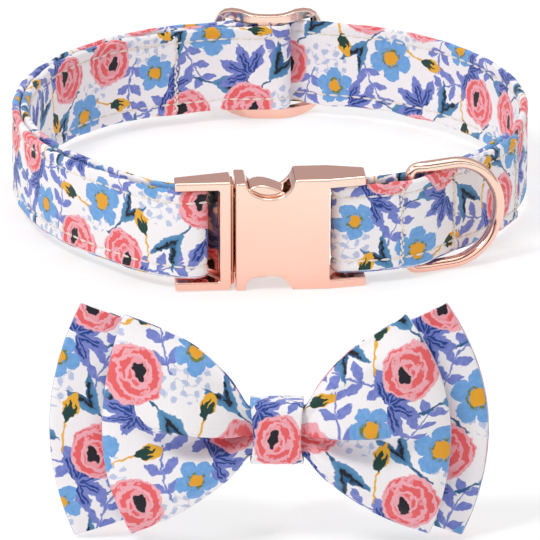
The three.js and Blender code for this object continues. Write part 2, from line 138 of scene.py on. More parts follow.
class Shader:
    """A material and the nodes that it is built from."""

    def __init__(self, name: str) -> None:
        """Start an empty material.

        Args:
            name: the material's name.
        """
        self.material = bpy.data.materials.new(name)
        self.material.use_nodes = True
        self.tree = self.material.node_tree
        self.tree.nodes.clear()

    @classmethod
    def of_tree(cls, tree: bpy.types.NodeTree) -> "Shader":
        """Start on a tree that is there already, such as a world's, emptied."""
        made = cls.__new__(cls)
        made.tree = tree
        tree.nodes.clear()
        return made

    def node(self, kind: str, settings: dict, inputs: dict) -> bpy.types.Node:
        """Add one node.

        Args:
            kind: the node's type.
            settings: attributes set before any socket.
            inputs: socket name, identifier or index, and its value or wire.

        Returns:
            The node.
        """
        made = self.tree.nodes.new(kind)
        for key, value in settings.items():
            setattr(made, key, value)
        for key, value in inputs.items():
            socket = self.socket(made.inputs, key)
            if isinstance(value, Wire):
                self.tree.links.new(value.socket, socket)
            else:
                socket.default_value = value
        return made

    @staticmethod
    def socket(sockets: Iterable, key: Union[str, int]) -> bpy.types.NodeSocket:
        """Find a socket by index, identifier or name."""
        if isinstance(key, int):
            return sockets[key]
        for socket in sockets:
            if socket.identifier == key:
                return socket
        return sockets[key]

    def out(self, node: bpy.types.Node, key: Union[str, int] = 0) -> Wire:
        """Wrap one output of a node."""
        return Wire(self, self.socket(node.outputs, key))

    def math(self, operation: str, *values: Value, clamp: bool = False) -> Wire:
        """Add a Math node.

        Args:
            operation: the node's operation.
            values: its inputs, in order.
            clamp: whether the result stays between 0 and 1.

        Returns:
            The result.
        """
        settings = {"operation": operation, "use_clamp": clamp}
        return self.out(self.node("ShaderNodeMath", settings, dict(enumerate(values))))

    def edge(self, distance: Wire, sharp: float = 4.5) -> Wire:
        """Turn a distance inside an outline, in millimetres, into a soft-edged mask."""
        return self.math("MULTIPLY_ADD", distance, sharp, 0.5, clamp=True)

    def mix(self, factor: Value, under: object, over: object) -> Wire:
        """Blend two colours."""
        inputs = {"Factor_Float": factor, "A_Color": under, "B_Color": over}
        return self.out(self.node("ShaderNodeMix", {"data_type": "RGBA"}, inputs), "Result_Color")

    def vector(self, x: Value, y: Value, z: Value = 0.0) -> Wire:
        """Join three values into a vector."""
        return self.out(self.node("ShaderNodeCombineXYZ", {}, {0: x, 1: y, 2: z}))

    def split(self, vector: Wire) -> tuple[Wire, Wire, Wire]:
        """Split a vector into its three values."""
        made = self.node("ShaderNodeSeparateXYZ", {}, {0: vector})
        return self.out(made, 0), self.out(made, 1), self.out(made, 2)

    def noise(self, vector: Wire, scale: float, detail: float = 2.0) -> Wire:
        """Sample smooth noise, between 0 and 1."""
        inputs = {"Vector": vector, "Scale": scale, "Detail": detail}
        return self.out(self.node("ShaderNodeTexNoise", {}, inputs), "Fac")

    def bump(self, height: Wire, strength: float, distance: float) -> Wire:
        """Turn a height into a normal."""
        inputs = {"Height": height, "Strength": strength, "Distance": distance}
        return self.out(self.node("ShaderNodeBump", {}, inputs), "Normal")

    def finish(self, inputs: dict) -> bpy.types.Material:
        """Close the tree with a Principled shader.

        Args:
            inputs: the shader's own socket values and wires.

        Returns:
            The material.
        """
        surface = self.node("ShaderNodeBsdfPrincipled", {}, inputs)
        self.node("ShaderNodeOutputMaterial", {}, {"Surface": self.out(surface, "BSDF")})
        return self.material


# ---------------------------------------------------------------- the printed floral


class MotifKind(Enum):
    """The painted motifs of the print."""

    ROSE = "rose"
    DAISY = "daisy"
    SPRIG = "sprig"
    BLADES = "blades"
    FAN = "fan"
    BUD = "bud"
    BERRIES = "berries"


@dataclass(frozen=True)
class Motif:
    """One painted motif of the repeat: its place and size in millimetres, its turn in degrees."""

    kind: MotifKind
    u: float
    v: float
    turn: float
    size: float


# Painted in this order, the last on top.
REPEAT_MOTIFS = (
    Motif(MotifKind.BERRIES, 20.0, 21.5, 20, 1.0),
    Motif(MotifKind.BERRIES, 0.5, 31.5, -30, 0.9),
    Motif(MotifKind.SPRIG, 14.5, 30.5, 100, 1.1),
    Motif(MotifKind.SPRIG, 33.5, 27.0, 62, 1.05),
    Motif(MotifKind.SPRIG, 20.5, 3.5, 165, 1.15),
    Motif(MotifKind.BLADES, 41.5, 33.5, 12, 1.2),
    Motif(MotifKind.BLADES, 15.0, 13.0, -52, 1.2),
    Motif(MotifKind.BLADES, 31.0, 16.0, 130, 1.1),
    Motif(MotifKind.FAN, 5.0, 11.5, 205, 1.2),
    Motif(MotifKind.FAN, 29.5, 35.0, 20, 1.1),
    Motif(MotifKind.BUD, 24.5, 14.0, 70, 1.15),
    Motif(MotifKind.BUD, 9.0, 35.5, 10, 1.1),
    Motif(MotifKind.DAISY, 39.5, 18.5, 15, 1.1),
    Motif(MotifKind.DAISY, 22.5, 28.5, 50, 0.85),
    Motif(MotifKind.ROSE, 7.5, 22.5, 20, 1.05),
    Motif(MotifKind.ROSE, 32.0, 5.5, 200, 1.0),
)


@dataclass(frozen=True)
class FloralPrint:
    """The repeat of the print, in millimetres, with a half drop from column to column."""

    width: float = 42.0
    height: float = 36.0
    ground: str = "FCF8FA"
    blush: str = "F9B4BE"
    coral: str = "F1676A"
    black: str = "24232B"
    sky: str = "5F9BDC"
    sky_pale: str = "8DBDEE"
    amber: str = "F0A92F"
    olive: str = "74803A"
    periwinkle: str = "6C7AC6"
    periwinkle_pale: str = "929DDE"
    navy: str = "27438C"
    teal: str = "2F6390"
    slate: str = "5C93BE"
    yellow: str = "F2B437"
    green: str = "234640"
    mist: str = "C0CBE8"

    def paint(self, shader: Shader, place: Wire) -> Wire:
        """Paint the print.

        Args:
            shader: the material being built.
            place: the point of the cloth, in millimetres.

        Returns:
            The cloth's colour.
        """
        wobble = shader.node("ShaderNodeTexNoise", {}, {"Vector": place, "Scale": 0.6, "Detail": 1.2})
        shift_u, shift_v, _ = shader.split(shader.out(wobble, "Color"))
        u, v, _ = shader.split(place)
        u = u + (shift_u - 0.5) * 1.8
        v = v + (shift_v - 0.5) * 1.8
        grain = shader.noise(place, 0.8, 1.5)
        colour: object = linear(self.ground)
        painters = {
            MotifKind.ROSE: self.rose, MotifKind.DAISY: self.daisy, MotifKind.SPRIG: self.sprig,
            MotifKind.BLADES: self.blades, MotifKind.FAN: self.fan, MotifKind.BUD: self.bud,
            MotifKind.BERRIES: self.berries,
        }
        for motif in REPEAT_MOTIFS:
            x, y = self.local(shader, u, v, motif)
            colour = painters[motif.kind](shader, x, y, grain, colour)
        return colour

    def local(self, shader: Shader, u: Wire, v: Wire, motif: Motif) -> tuple[Wire, Wire]:
        """Work out a motif's own coordinates, wherever the cloth is in the repeat."""
        from_u = u - motif.u
        column = shader.math("ROUND", from_u / self.width)
        x = shader.math("MULTIPLY_ADD", column, -self.width, from_u)
        drop = shader.math("MULTIPLY_ADD", column, -self.height / 2, v - motif.v)
        y = shader.math("WRAP", drop, self.height / 2, -self.height / 2)
        settings = {"rotation_type": "Z_AXIS"}
        inputs = {"Vector": shader.vector(x, y), "Angle": math.radians(-motif.turn)}
        turned = shader.out(shader.node("ShaderNodeVectorRotate", settings, inputs))
        x, y, _ = shader.split(turned)
        return x * (1 / motif.size), y * (1 / motif.size)

    @staticmethod
    def polar(shader: Shader, x: Wire, y: Wire) -> tuple[Wire, Wire]:
        """Turn a place into its distance and its angle."""
        squares = shader.math("MULTIPLY_ADD", x, x, y * y)
        return shader.math("SQRT", squares), shader.math("ARCTAN2", y, x)

    @staticmethod
    def leaf(shader: Shader, along: Wire, across: Wire, middle: float, reach: float, width: float) -> Wire:
        """Measure how far inside a pointed leaf a place is."""
        from_middle = (along - middle) * (1 / reach)
        return shader.math("MULTIPLY_ADD", from_middle * from_middle, -width, width - abs(across))

    def rose(self, shader: Shader, x: Wire, y: Wire, grain: Wire, under: object) -> Wire:
        """Paint a round rose: a blush disc, broken coral strokes and a black heart."""
        distance, angle = self.polar(shader, x, y)
        ripple = shader.math("SINE", angle * 5.0) * 0.22
        disc = shader.edge(6.9 + ripple - distance)
        colour = shader.mix(disc, under, linear(self.blush))
        ringed, _ = self.polar(shader, x - 0.9, (y - 0.2) * 0.92)
        swirl = ringed * 0.46 - angle * (1 / math.tau) + grain * 0.35
        stroke = shader.math("SINE", swirl * math.tau) + 0.5
        breaks = shader.math("SINE", angle * 2.0 + distance * 1.1 + grain * 4.0) + 0.8
        rim = shader.edge(6.5 + ripple - distance, 3.0)
        brushed = shader.edge(stroke, 3.2) * shader.edge(breaks, 2.5) * rim
        colour = shader.mix(brushed, colour, linear(self.coral))
        to_heart, heart_angle = self.polar(shader, (x - 1.8) * 1.5, (y - 0.4) * 0.85)
        halo = shader.edge(2.9 - to_heart, 2.0)
        colour = shader.mix(halo * 0.75, colour, linear(self.blush))
        heart = 1.7 + shader.math("SINE", heart_angle * 3.0 + 0.6) * 0.28 + grain * 0.5 - to_heart
        return shader.mix(shader.edge(heart), colour, linear(self.black))

    def daisy(self, shader: Shader, x: Wire, y: Wire, grain: Wire, under: object) -> Wire:
        """Paint a five-petalled blue flower with an amber eye."""
        distance, angle = self.polar(shader, x, y)
        swell = shader.math("POWER", abs(shader.math("COSINE", angle * 2.5)), 0.6)
        petals = shader.edge(swell * 2.5 + 3.7 - distance)
        tone = shader.mix(grain * 1.1 - 0.1, linear(self.sky), linear(self.sky_pale))
        colour = shader.mix(petals, under, tone)
        ring = shader.edge(2.75 - distance, 2.0) * shader.edge(grain - 0.5, 9.0)
        colour = shader.mix(ring, colour, linear(self.olive))
        return shader.mix(shader.edge(1.95 - distance), colour, linear(self.amber))

    def stem(self, shader: Shader, x: Wire, y: Wire, reach: float, width: float) -> Wire:
        """Mask a thin stem along the motif's own axis."""
        return shader.edge(width - abs(y)) * shader.edge(reach - abs(x))

    def sprig(self, shader: Shader, x: Wire, y: Wire, grain: Wire, under: object) -> Wire:
        """Paint a stem with three pairs of round-tipped leaves."""
        bent = y + x * x * 0.02
        step = 4.5
        inside = shader.edge(abs(x - 0.4) * -1.0 + 6.4)
        slot = shader.math("WRAP", x, 3.6, 3.6 - step)
        out = abs(bent)
        along = slot * 0.62 + out * 0.785
        across = slot * -0.785 + out * 0.62
        leaves = shader.edge(self.leaf(shader, along, across, 2.35, 2.3, 1.12)) * inside
        mask = shader.math("MAXIMUM", leaves, self.stem(shader, x, bent, 6.6, 0.24))
        tone = shader.mix(grain * 1.4 - 0.3, linear(self.periwinkle), linear(self.periwinkle_pale))
        return shader.mix(mask, under, tone)

    def blades(self, shader: Shader, x: Wire, y: Wire, grain: Wire, under: object) -> Wire:
        """Paint two long teal leaves from one stem, with black dry-brush strokes."""
        bent = y + x * x * 0.018
        out = abs(bent)
        along = x * 0.906 + out * 0.423
        across = x * -0.423 + out * 0.906
        leaves = shader.edge(self.leaf(shader, along, across, 1.9, 6.0, 1.3))
        tone = shader.mix(shader.edge(across, 0.7), linear(self.teal), linear(self.slate))
        colour = shader.mix(self.stem(shader, x + 4.2, bent, 3.6, 0.26), under, linear(self.teal))
        colour = shader.mix(leaves, colour, tone)
        streak = shader.edge(0.34 - abs(across + 0.35)) * shader.edge(4.2 - abs(along - 1.6))
        dry = shader.edge(grain - 0.36, 10.0)
        return shader.mix(streak * dry, colour, linear(self.black))

    def fan(self, shader: Shader, x: Wire, y: Wire, grain: Wire, under: object) -> Wire:
        """Paint a fan of five lobes with navy veins."""
        distance, angle = self.polar(shader, x + 3.0, y)
        sector = math.radians(44)
        held = shader.math("WRAP", angle, sector / 2, -sector / 2)
        along = distance * shader.math("COSINE", held)
        across = distance * shader.math("SINE", held)
        fanned = shader.edge(math.radians(112) - abs(angle), 12.0)
        lobes = shader.edge(self.leaf(shader, along, across, 3.9, 4.1, 1.55)) * fanned
        tone = shader.mix(grain * 1.3 - 0.3, linear(self.periwinkle), linear(self.periwinkle_pale))
        colour = shader.mix(lobes, under, tone)
        near = shader.edge(4.6 + grain * 2.0 - distance, 2.0)
        vein = shader.edge(0.24 - abs(abs(across) - 0.4)) * near * fanned
        return shader.mix(vein, colour, linear(self.navy))

    def bud(self, shader: Shader, x: Wire, y: Wire, grain: Wire, under: object) -> Wire:
        """Paint a yellow bud in a jagged green calyx, on a yellow stem."""
        bent = y + x * x * 0.03
        colour = shader.mix(self.stem(shader, x + 4.0, bent, 3.6, 0.26), under, linear(self.yellow))
        petals = shader.edge(self.leaf(shader, x, y, 2.2, 3.1, 1.75))
        colour = shader.mix(petals, colour, linear(self.yellow))
        teeth = shader.math("SINE", y * 5.5) * 0.9
        calyx = shader.edge(2.0 + teeth + grain * 1.2 - x, 4.0)
        calyx = calyx * shader.edge(self.leaf(shader, x, y, 1.4, 2.7, 1.35))
        return shader.mix(calyx, colour, linear(self.green))

    def berries(self, shader: Shader, x: Wire, y: Wire, grain: Wire, under: object) -> Wire:
        """Paint a loose spray of pale berries on thin stalks."""
        pitch = 2.9
        row = shader.math("ROUND", y * (1 / pitch))
        stagger = x + row * 1.3 + shader.math("SINE", row * 2.1) * 0.5
        dot_x = shader.math("WRAP", stagger, pitch / 2, -pitch / 2)
        dot_y = y - row * pitch + shader.math("SINE", x * 0.9) * 0.45
        distance, _ = self.polar(shader, dot_x, dot_y)
        spray, _ = self.polar(shader, x * 0.8, y)
        inside = shader.edge(5.2 - spray)
        dots = shader.edge(0.72 + grain * 0.2 - distance, 4.0) * inside
        stalks = shader.edge(0.14 - abs(y + shader.math("SINE", x * 0.8) * 1.6)) * inside
        crossing = shader.edge(0.14 - abs(x - shader.math("SINE", y) * 1.2)) * inside
        stalks = shader.math("MAXIMUM", stalks, crossing)
        colour = shader.mix(stalks * 0.8, under, linear(self.mist))
        return shader.mix(dots * 0.95, colour, linear(self.mist))


# ---------------------------------------------------------------- finishes

CLOTH_UV = "cloth_mm"


@dataclass(frozen=True)
class PrintedCotton:
    """Fine cotton with the floral print and a close twill weave."""

    name: str = "printed_cotton"
    pattern: FloralPrint = field(default_factory=FloralPrint)
    thread_pitch: float = 0.42

    def material(self) -> bpy.types.Material:
        """Build the material, which reads the cloth's own coordinates in millimetres."""
        shader = Shader(self.name)
        place = shader.out(shader.node("ShaderNodeUVMap", {"uv_map": CLOTH_UV}, {}))
        u, v, _ = shader.split(place)
        colour = self.pattern.paint(shader, place)
        turns = math.tau / self.thread_pitch
        warp = shader.math("SINE", u * turns)
        weft = shader.math("SINE", v * turns)
        twill = shader.math("SINE", (u + v) * (turns / 2))
        weave = warp * 0.7 + weft * 0.25 + twill * 0.15
        cloudy = shader.noise(place, 0.05, 3.0)
        # Painted shade: the weave darkens the colour between the threads, the cloudy noise adds a random
        # mottle of tone, and the rest is the cloth's own greyish tint.
        shade = weave * 0.05 + cloudy * 0.06 + 0.93
        white = (1.0, 1.0, 1.0, 1.0)
        weave_shade_and_mottle_tint = shader.mix(shader.math("SUBTRACT", 1.0, shade, clamp=True), white, linear("7F7278"))
        settings = {"data_type": "RGBA", "blend_type": "MULTIPLY"}
        inputs = {"Factor_Float": 1.0, "A_Color": colour, "B_Color": weave_shade_and_mottle_tint}
        print_with_shade_and_mottle = shader.out(shader.node("ShaderNodeMix", settings, inputs), "Result_Color")
        crumple = shader.noise(place, 0.16, 4.0)
        normal = shader.bump(weave * 0.25 + crumple * 3.0, 0.35, 0.15 * MM)
        return shader.finish({
            "Base Color": print_with_shade_and_mottle, "Roughness": cloudy * 0.12 + 0.78, "Normal": normal,
            "Specular IOR Level": 0.25, "Sheen Weight": 0.15, "Sheen Roughness": 0.5,
        })


@dataclass(frozen=True)
class RoseGold:
    """Polished rose-gold plating, with faint handling marks; its colour is painted lighter towards the top,
    as painted light from above.
    """

    name: str = "rose_gold"
    # bright and deep are lit and shaded copies of the plating's colour, blended by height as painted light.
    bright: str = "FBDCCA"
    deep: str = "FCC5B3"
    roughness: float = 0.12
    painted_light_height: float = 30.0

    def material(self) -> bpy.types.Material:
        """Build the material on object coordinates."""
        shader = Shader(self.name)
        place = shader.out(shader.node("ShaderNodeTexCoord", {}, {}), "Object")
        _, _, height = shader.split(place)
        drift = shader.noise(place, 60.0, 2.0) * 0.5 - 0.25
        broad = shader.math("MULTIPLY_ADD", height, 1 / (self.painted_light_height * MM), drift)
        fine = shader.noise(place, 900.0, 3.0)
        settings = {"vector_type": "POINT"}
        stretched = shader.node("ShaderNodeMapping", settings, {"Vector": place, "Scale": (0.06, 1.0, 1.0)})
        brushed = shader.noise(shader.out(stretched), 2600.0, 2.0)
        # Painted light: the colour runs from the deep shaded colour at the bottom to the bright lit colour
        # towards the top, with a random drift.
        colour = shader.mix(broad, linear(self.deep), linear(self.bright))
        rough = fine * 0.06 + brushed * 0.06 + (self.roughness - 0.05)
        normal = shader.bump(brushed, 0.04, 0.1 * MM)
        return shader.finish({"Base Color": colour, "Metallic": 1.0, "Roughness": rough, "Normal": normal})


@dataclass(frozen=True)
class Thread:
    """Cream sewing thread, with its ply as a fine ripple."""

    name: str = "cream_thread"
    colour: str = "FBF3E9"
    shadow: str = "EBDFD2"

    def material(self) -> bpy.types.Material:
        """Build the material on object coordinates."""
        shader = Shader(self.name)
        place = shader.out(shader.node("ShaderNodeTexCoord", {}, {}), "Object")
        x, y, z = shader.split(place)
        ply = shader.math("SINE", (x + y + z * 1.7) * (math.tau / (0.5 * MM)))
        fuzz = shader.noise(place, 2500.0, 2.0)
        colour = shader.mix(fuzz, linear(self.shadow), linear(self.colour))
        normal = shader.bump(ply, 0.4, 0.06 * MM)
        return shader.finish({"Base Color": colour, "Roughness": fuzz * 0.2 + 0.7, "Normal": normal})


@dataclass(frozen=True)
class RibbedElastic:
    """White knitted elastic, with ribs along its length."""

    name: str = "ribbed_elastic"
    rib: float = 0.75

    def material(self) -> bpy.types.Material:
        """Build the material on the cloth's own coordinates."""
        shader = Shader(self.name)
        place = shader.out(shader.node("ShaderNodeUVMap", {"uv_map": CLOTH_UV}, {}))
        u, v, _ = shader.split(place)
        ribs = shader.math("SINE", v * (math.tau / self.rib))
        knit = shader.math("SINE", u * (math.tau / 0.5))
        height = ribs + knit * 0.4
        # Painted shade: the rib height that makes the bump also darkens the grooves and lightens the ridges.
        colour = shader.mix(height * 0.3 + 0.5, linear("D9D6D2"), linear("F7F5F1"))
        fuzz = shader.noise(place, 3.0, 2.0)
        normal = shader.bump(height, 0.6, 0.12 * MM)
        return shader.finish({"Base Color": colour, "Roughness": fuzz * 0.15 + 0.8, "Normal": normal})


@dataclass(frozen=True)
class Paper:
    """The plain pale floor."""

    name: str = "pale_floor"
    colour: str = "B8B7B7"

    def material(self) -> bpy.types.Material:
        """Build the material, with a grain too faint to see as a pattern."""
        shader = Shader(self.name)
        place = shader.out(shader.node("ShaderNodeTexCoord", {}, {}), "Object")
        colour = shader.mix(shader.noise(place, 3.0), linear(self.colour), linear("BDBDBD"))
        return shader.finish({
            "Base Color": colour, "Roughness": 0.9, "Specular IOR Level": 0.1,
            "Emission Color": linear("FFFFFF"), "Emission Strength": 0.55,
        })


# ---------------------------------------------------------------- meshes


def ease(value: float, low: float, high: float) -> float:
    """Rise smoothly from 0 at low to 1 at high."""
    t = min(max((value - low) / (high - low), 0.0), 1.0)
    return t * t * (3 - 2 * t)


def lookup(rows: Sequence[Row], at: float, column: int) -> float:
    """Read a table smoothly.

    Args:
        rows: rows whose first number rises.
        at: where to read.
        column: which number of the row to read.

    Returns:
        The value between the two rows about the place.
    """
    last = len(rows) - 2
    i = next((n for n in range(last + 1) if rows[n + 1][0] >= at), last)
    before, here, after, beyond = (rows[min(max(i + k, 0), last + 1)] for k in (-1, 0, 1, 2))
    span = after[0] - here[0]
    t = min(max((at - here[0]) / span, 0.0), 1.0)
    slope_in = (after[column] - before[column]) / max(after[0] - before[0], 1e-9) * span
    slope_out = (beyond[column] - here[column]) / max(beyond[0] - here[0], 1e-9) * span
    h = t * t * (3 - 2 * t)
    bend = t * (1 - t) * ((1 - t) * slope_in - t * slope_out)
    return here[column] * (1 - h) + after[column] * h + bend


def linked(name: str, data: bpy.types.ID) -> bpy.types.Object:
    """Put a mesh, lamp or camera into the scene as an object."""
    made = bpy.data.objects.new(name, data)
    bpy.context.scene.collection.objects.link(made)
    return made


def skin(
    name: str, rows: Sequence[Sequence[Vector]], places: Sequence[Sequence[tuple[float, float]]],
    ring: bool, capped: bool,
) -> bpy.types.Object:
    """Make a mesh through rows of points, with the cloth's own coordinates.

    Args:
        name: the object's name.
        rows: rows of points in metres, each row going the same way.
        places: the cloth's coordinates of each point; a ring's rows hold one more, for the join.
        ring: whether each row closes on itself.
        capped: whether the first and last rows are closed with a face.

    Returns:
        The object.
    """
    mesh = bpy.data.meshes.new(name)
    built = bmesh.new()
    layer = built.loops.layers.uv.new(CLOTH_UV)
    grid = [[built.verts.new(point) for point in row] for row in rows]
    count = len(rows[0])
    spans = count if ring else count - 1
    for i in range(len(rows) - 1):
        for j in range(spans):
            k = (j + 1) % count
            face = built.faces.new((grid[i][j], grid[i][k], grid[i + 1][k], grid[i + 1][j]))
            face.smooth = True
            corners = (places[i][j], places[i][j + 1], places[i + 1][j + 1], places[i + 1][j])
            for loop, place in zip(face.loops, corners):
                loop[layer].uv = place
    if capped:
        for i, turned in ((0, True), (len(rows) - 1, False)):
            face = built.faces.new(reversed(grid[i]) if turned else grid[i])
            for loop in face.loops:
                loop[layer].uv = places[i][grid[i].index(loop.vert)]
    if ring:
        bmesh.ops.recalc_face_normals(built, faces=built.faces)
    built.to_mesh(mesh)
    built.free()
    return linked(name, mesh)


def dress(piece: bpy.types.Object, material: bpy.types.Material, body: Body) -> bpy.types.Object:
    """Give a piece its material and its body."""
    piece.data.materials.clear()
    piece.data.materials.append(material)
    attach(piece, body.value)
    return piece


def refine(piece: bpy.types.Object, levels: int) -> None:
    """Add subdivision that shows the same in every view."""
    modifier = piece.modifiers.new("smooth", "SUBSURF")
    modifier.levels = levels
    modifier.render_levels = levels


def copied_node(name: str, node: str) -> bpy.types.Object:
    """Copy a node of the frame as one clean solid of flat faces.

    Args:
        name: the copy's name.
        node: the node.

    Returns:
        The copy.
    """
    built = bmesh.new()
    built.from_mesh(frame["nodes"][node].data)
    bmesh.ops.remove_doubles(built, verts=built.verts, dist=SAME_POINT)
    bmesh.ops.dissolve_limit(
        built, angle_limit=math.radians(1.0), use_dissolve_boundaries=False,
        verts=built.verts, edges=built.edges,
    )
    for face in built.faces:
        face.smooth = True
    mesh = bpy.data.meshes.new(name)
    built.to_mesh(mesh)
    built.free()
    return linked(name, mesh)


def rounded(piece: bpy.types.Object, width: float, segments: int, angle: float = 40.0) -> None:
    """Round a metal piece's edges.

    Args:
        piece: the piece.
        width: the bevel's width in millimetres.
        segments: faces across the bevel.
        angle: the least angle between two faces that counts as an edge, in degrees.
    """
    modifier = piece.modifiers.new("rounded", "BEVEL")
    modifier.width = width * MM
    modifier.segments = segments
    modifier.limit_method = "ANGLE"
    modifier.use_clamp_overlap = False
    modifier.angle_limit = math.radians(angle)
    modifier.miter_outer = "MITER_ARC"
    flat = piece.modifiers.new("flat_faces", "WEIGHTED_NORMAL")
    flat.weight = 80


# ---------------------------------------------------------------- strap


@dataclass
class Line:
    """A strap's centre line in plan, with its normal and its length so far."""

    points: list[Vector]
    normals: list[Vector]
    lengths: list[float]

    @classmethod
    def of_node(cls, node: str, step: float) -> "Line":
        """Read a strap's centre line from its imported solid.

        Args:
            node: the strap's node.
            step: the distance between two points of the line, in metres.

        Returns:
            The line, evenly spaced and smoothed.
        """
        outline = cls.top_outline(node)
        count = len(outline)
        half = count // 2
        best = min(range(count), key=lambda k: max(
            (outline[(k + i) % count] - outline[(k - 1 - i) % count]).length for i in range(half)))
        pairs = [(outline[(best + i) % count], outline[(best - 1 - i) % count]) for i in range(half)]
        middle = [(a + b) / 2 for a, b in pairs]
        return cls.spaced(middle, step)

    @staticmethod
    def top_outline(node: str) -> list[Vector]:
        """Walk round the top face of a solid that stands on its edge."""
        built = bmesh.new()
        built.from_mesh(frame["nodes"][node].data)
        bmesh.ops.remove_doubles(built, verts=built.verts, dist=SAME_POINT)
        top = {face for face in built.faces if face.normal.z > 0.9}
        rim = {}
        for face in top:
            for loop in face.loops:
                if sum(other in top for other in loop.edge.link_faces) == 1:
                    rim[loop.vert] = loop.link_loop_next.vert
        start = min(rim, key=lambda vert: tuple(vert.co))
        walk = [start.co.xy.copy()]
        here = rim[start]
        while here is not start:
            walk.append(here.co.xy.copy())
            here = rim[here]
        built.free()
        return walk

    @classmethod
    def spaced(cls, middle: list[Vector], step: float) -> "Line":
        """Space points evenly along a smooth curve through others."""
        fine = []
        for i in range(len(middle) - 1):
            before, a, b, after = (middle[min(max(i + k, 0), len(middle) - 1)] for k in (-1, 0, 1, 2))
            for n in range(8):
                t = n / 8
                fine.append(0.5 * (2 * a + (b - before) * t + (2 * before - 5 * a + 4 * b - after) * t * t
                                   + (3 * a - before - 3 * b + after) * t ** 3))
        fine.append(middle[-1])
        run = [0.0]
        for a, b in zip(fine, fine[1:]):
            run.append(run[-1] + (b - a).length)
        steps = max(int(run[-1] / step), 2)
        points, lengths = [], []
        i = 0
        for n in range(steps + 1):
            goal = run[-1] * n / steps
            while i < len(run) - 2 and run[i + 1] < goal:
                i += 1
            t = (goal - run[i]) / max(run[i + 1] - run[i], 1e-12)
            points.append(fine[i].lerp(fine[i + 1], t))
            lengths.append(goal)
        normals = []
        for n in range(len(points)):
            along = points[min(n + 1, steps)] - points[max(n - 1, 0)]
            normals.append(Vector((along.y, -along.x)).normalized())
        return cls(points, normals, lengths)

    def outward(self) -> "Line":
        """Point the normals away from the middle of the collar."""
        low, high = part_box("strap_outer_run")
        centre = Vector(((low[0] + high[0]) / 2, (low[1] + high[1]) / 2))
        toward = sum((p - centre).dot(n) for p, n in zip(self.points, self.normals))
        if toward < 0:
            self.normals = [-n for n in self.normals]
        return self

    def nearest(self, test: Callable[[Vector], float]) -> int:
        """Find the point for which a test is least."""
        return min(range(len(self.points)), key=lambda n: test(self.points[n]))


@dataclass
class StrapLayer:
    """One layer of the strap: a doubled cotton tube, pressed flat and stitched near both edges."""

    node: str
    print_u: float
    print_v: float
    thickness: float = 1.9
    stitch_inset: float = 3.3
    edge: float = 0.9
    groove: float = 0.45
    crumple: float = 0.5
    step: float = 0.9
    line: Line = field(init=False)
    low: float = field(init=False)
    high: float = field(init=False)

    def __post_init__(self) -> None:
        """Read the layer's line and its two edges from the frame."""
        self.line = Line.of_node(self.node, self.step * MM).outward()
        low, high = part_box(self.node)
        self.low, self.high = low[2], high[2]

    def section(self) -> list[tuple[float, float, float]]:
        """Work out the layer's section.

        Returns:
            Points round it: how far out, how high from the middle, and the cloth's coordinate.
        """
        half = (self.high - self.low) / MM / 2
        deep = self.thickness / 2
        seam, edge = half - self.stitch_inset, self.edge
        side = [0.0, *(share * seam for share in (0.25, 0.5, 0.66))]
        side += [seam - edge, seam, seam + edge, half - 1.6, half - edge]
        face = sorted({-z for z in side} | set(side))
        points = []
        for way, start in ((1, 0.0), (-1, 2 * half + 2)):
            points += [(way * self.face_out(z, half, deep), z, start + way * z) for z in face[::way]]
            for turn in (60, 30, 0, -30, -60):
                a = math.radians(turn)
                out = way * math.sin(a) * deep * 0.92
                up = way * (half - edge + math.cos(a) * edge)
                points.append((out, up, start + half + (60 - turn) / 60))
        return points

    def face_out(self, height: float, half: float, deep: float) -> float:
        """Work out how far a flat side stands out at a height."""
        from_stitch = abs(height) - (half - self.stitch_inset)
        return deep - self.groove * math.exp(-((from_stitch / 0.7) ** 2))

    def pucker(self, length: float, height: float, out: float) -> tuple[float, float]:
        """Work out the cloth's small unevenness at a place.

        Args:
            length: distance along the strap in millimetres.
            height: height from the strap's middle in millimetres.
            out: which side, as a signed distance.

        Returns:
            How much further out and how much higher the place is, in millimetres.
        """
        side = 5.0 if out > 0 else 40.0
        place = Vector((length * 0.16, height * 0.13 + side, self.print_u))
        broad = noise.noise(place)
        gathers = noise.noise(Vector((length * 0.75, side, 3.0 + math.copysign(4.0, height))))
        near = math.exp(-(((abs(height) - 9.4) / 1.5) ** 2))
        edge = ease(abs(height), 9.0, 12.0)
        along_edge = Vector((length * 0.11, 9.0, self.print_v + math.copysign(3.0, height)))
        rise = edge * noise.noise(along_edge) * 0.35
        return self.crumple * (0.45 * broad + 0.55 * gathers * near), rise

    def build(self, material: bpy.types.Material) -> bpy.types.Object:
        """Build the layer."""
        section = self.section()
        around = section[-1][2] + 1.0
        middle = (self.low + self.high) / 2
        rows, places = [], []
        for point, normal, length in zip(self.line.points, self.line.normals, self.line.lengths):
            row, place = [], []
            run = length / MM
            for out, height, cloth in section:
                more, rise = self.pucker(run, height, out)
                reach = (out + math.copysign(more, out)) * MM
                x, y = (point[k] + normal[k] * reach for k in (0, 1))
                row.append(Vector((x, y, middle + (height + rise) * MM)))
                place.append((run + self.print_u, cloth + self.print_v))
            place.append((run + self.print_u, section[0][2] + around + self.print_v))
            rows.append(row)
            places.append(place)
        piece = skin(f"{self.node}_cloth", rows, places, ring=True, capped=True)
        dress(piece, material, Body.COLLAR)
        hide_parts(self.node)
        return piece

    def at(self, index: int, height: float, out: float) -> Vector:
        """Find a point on the layer: along it, up from its middle, and out from its centre line."""
        point, normal = self.line.points[index], self.line.normals[index]
        z = (self.low + self.high) / 2 + height * MM
        return Vector((point.x + normal.x * out * MM, point.y + normal.y * out * MM, z))


# ---------------------------------------------------------------- stitches


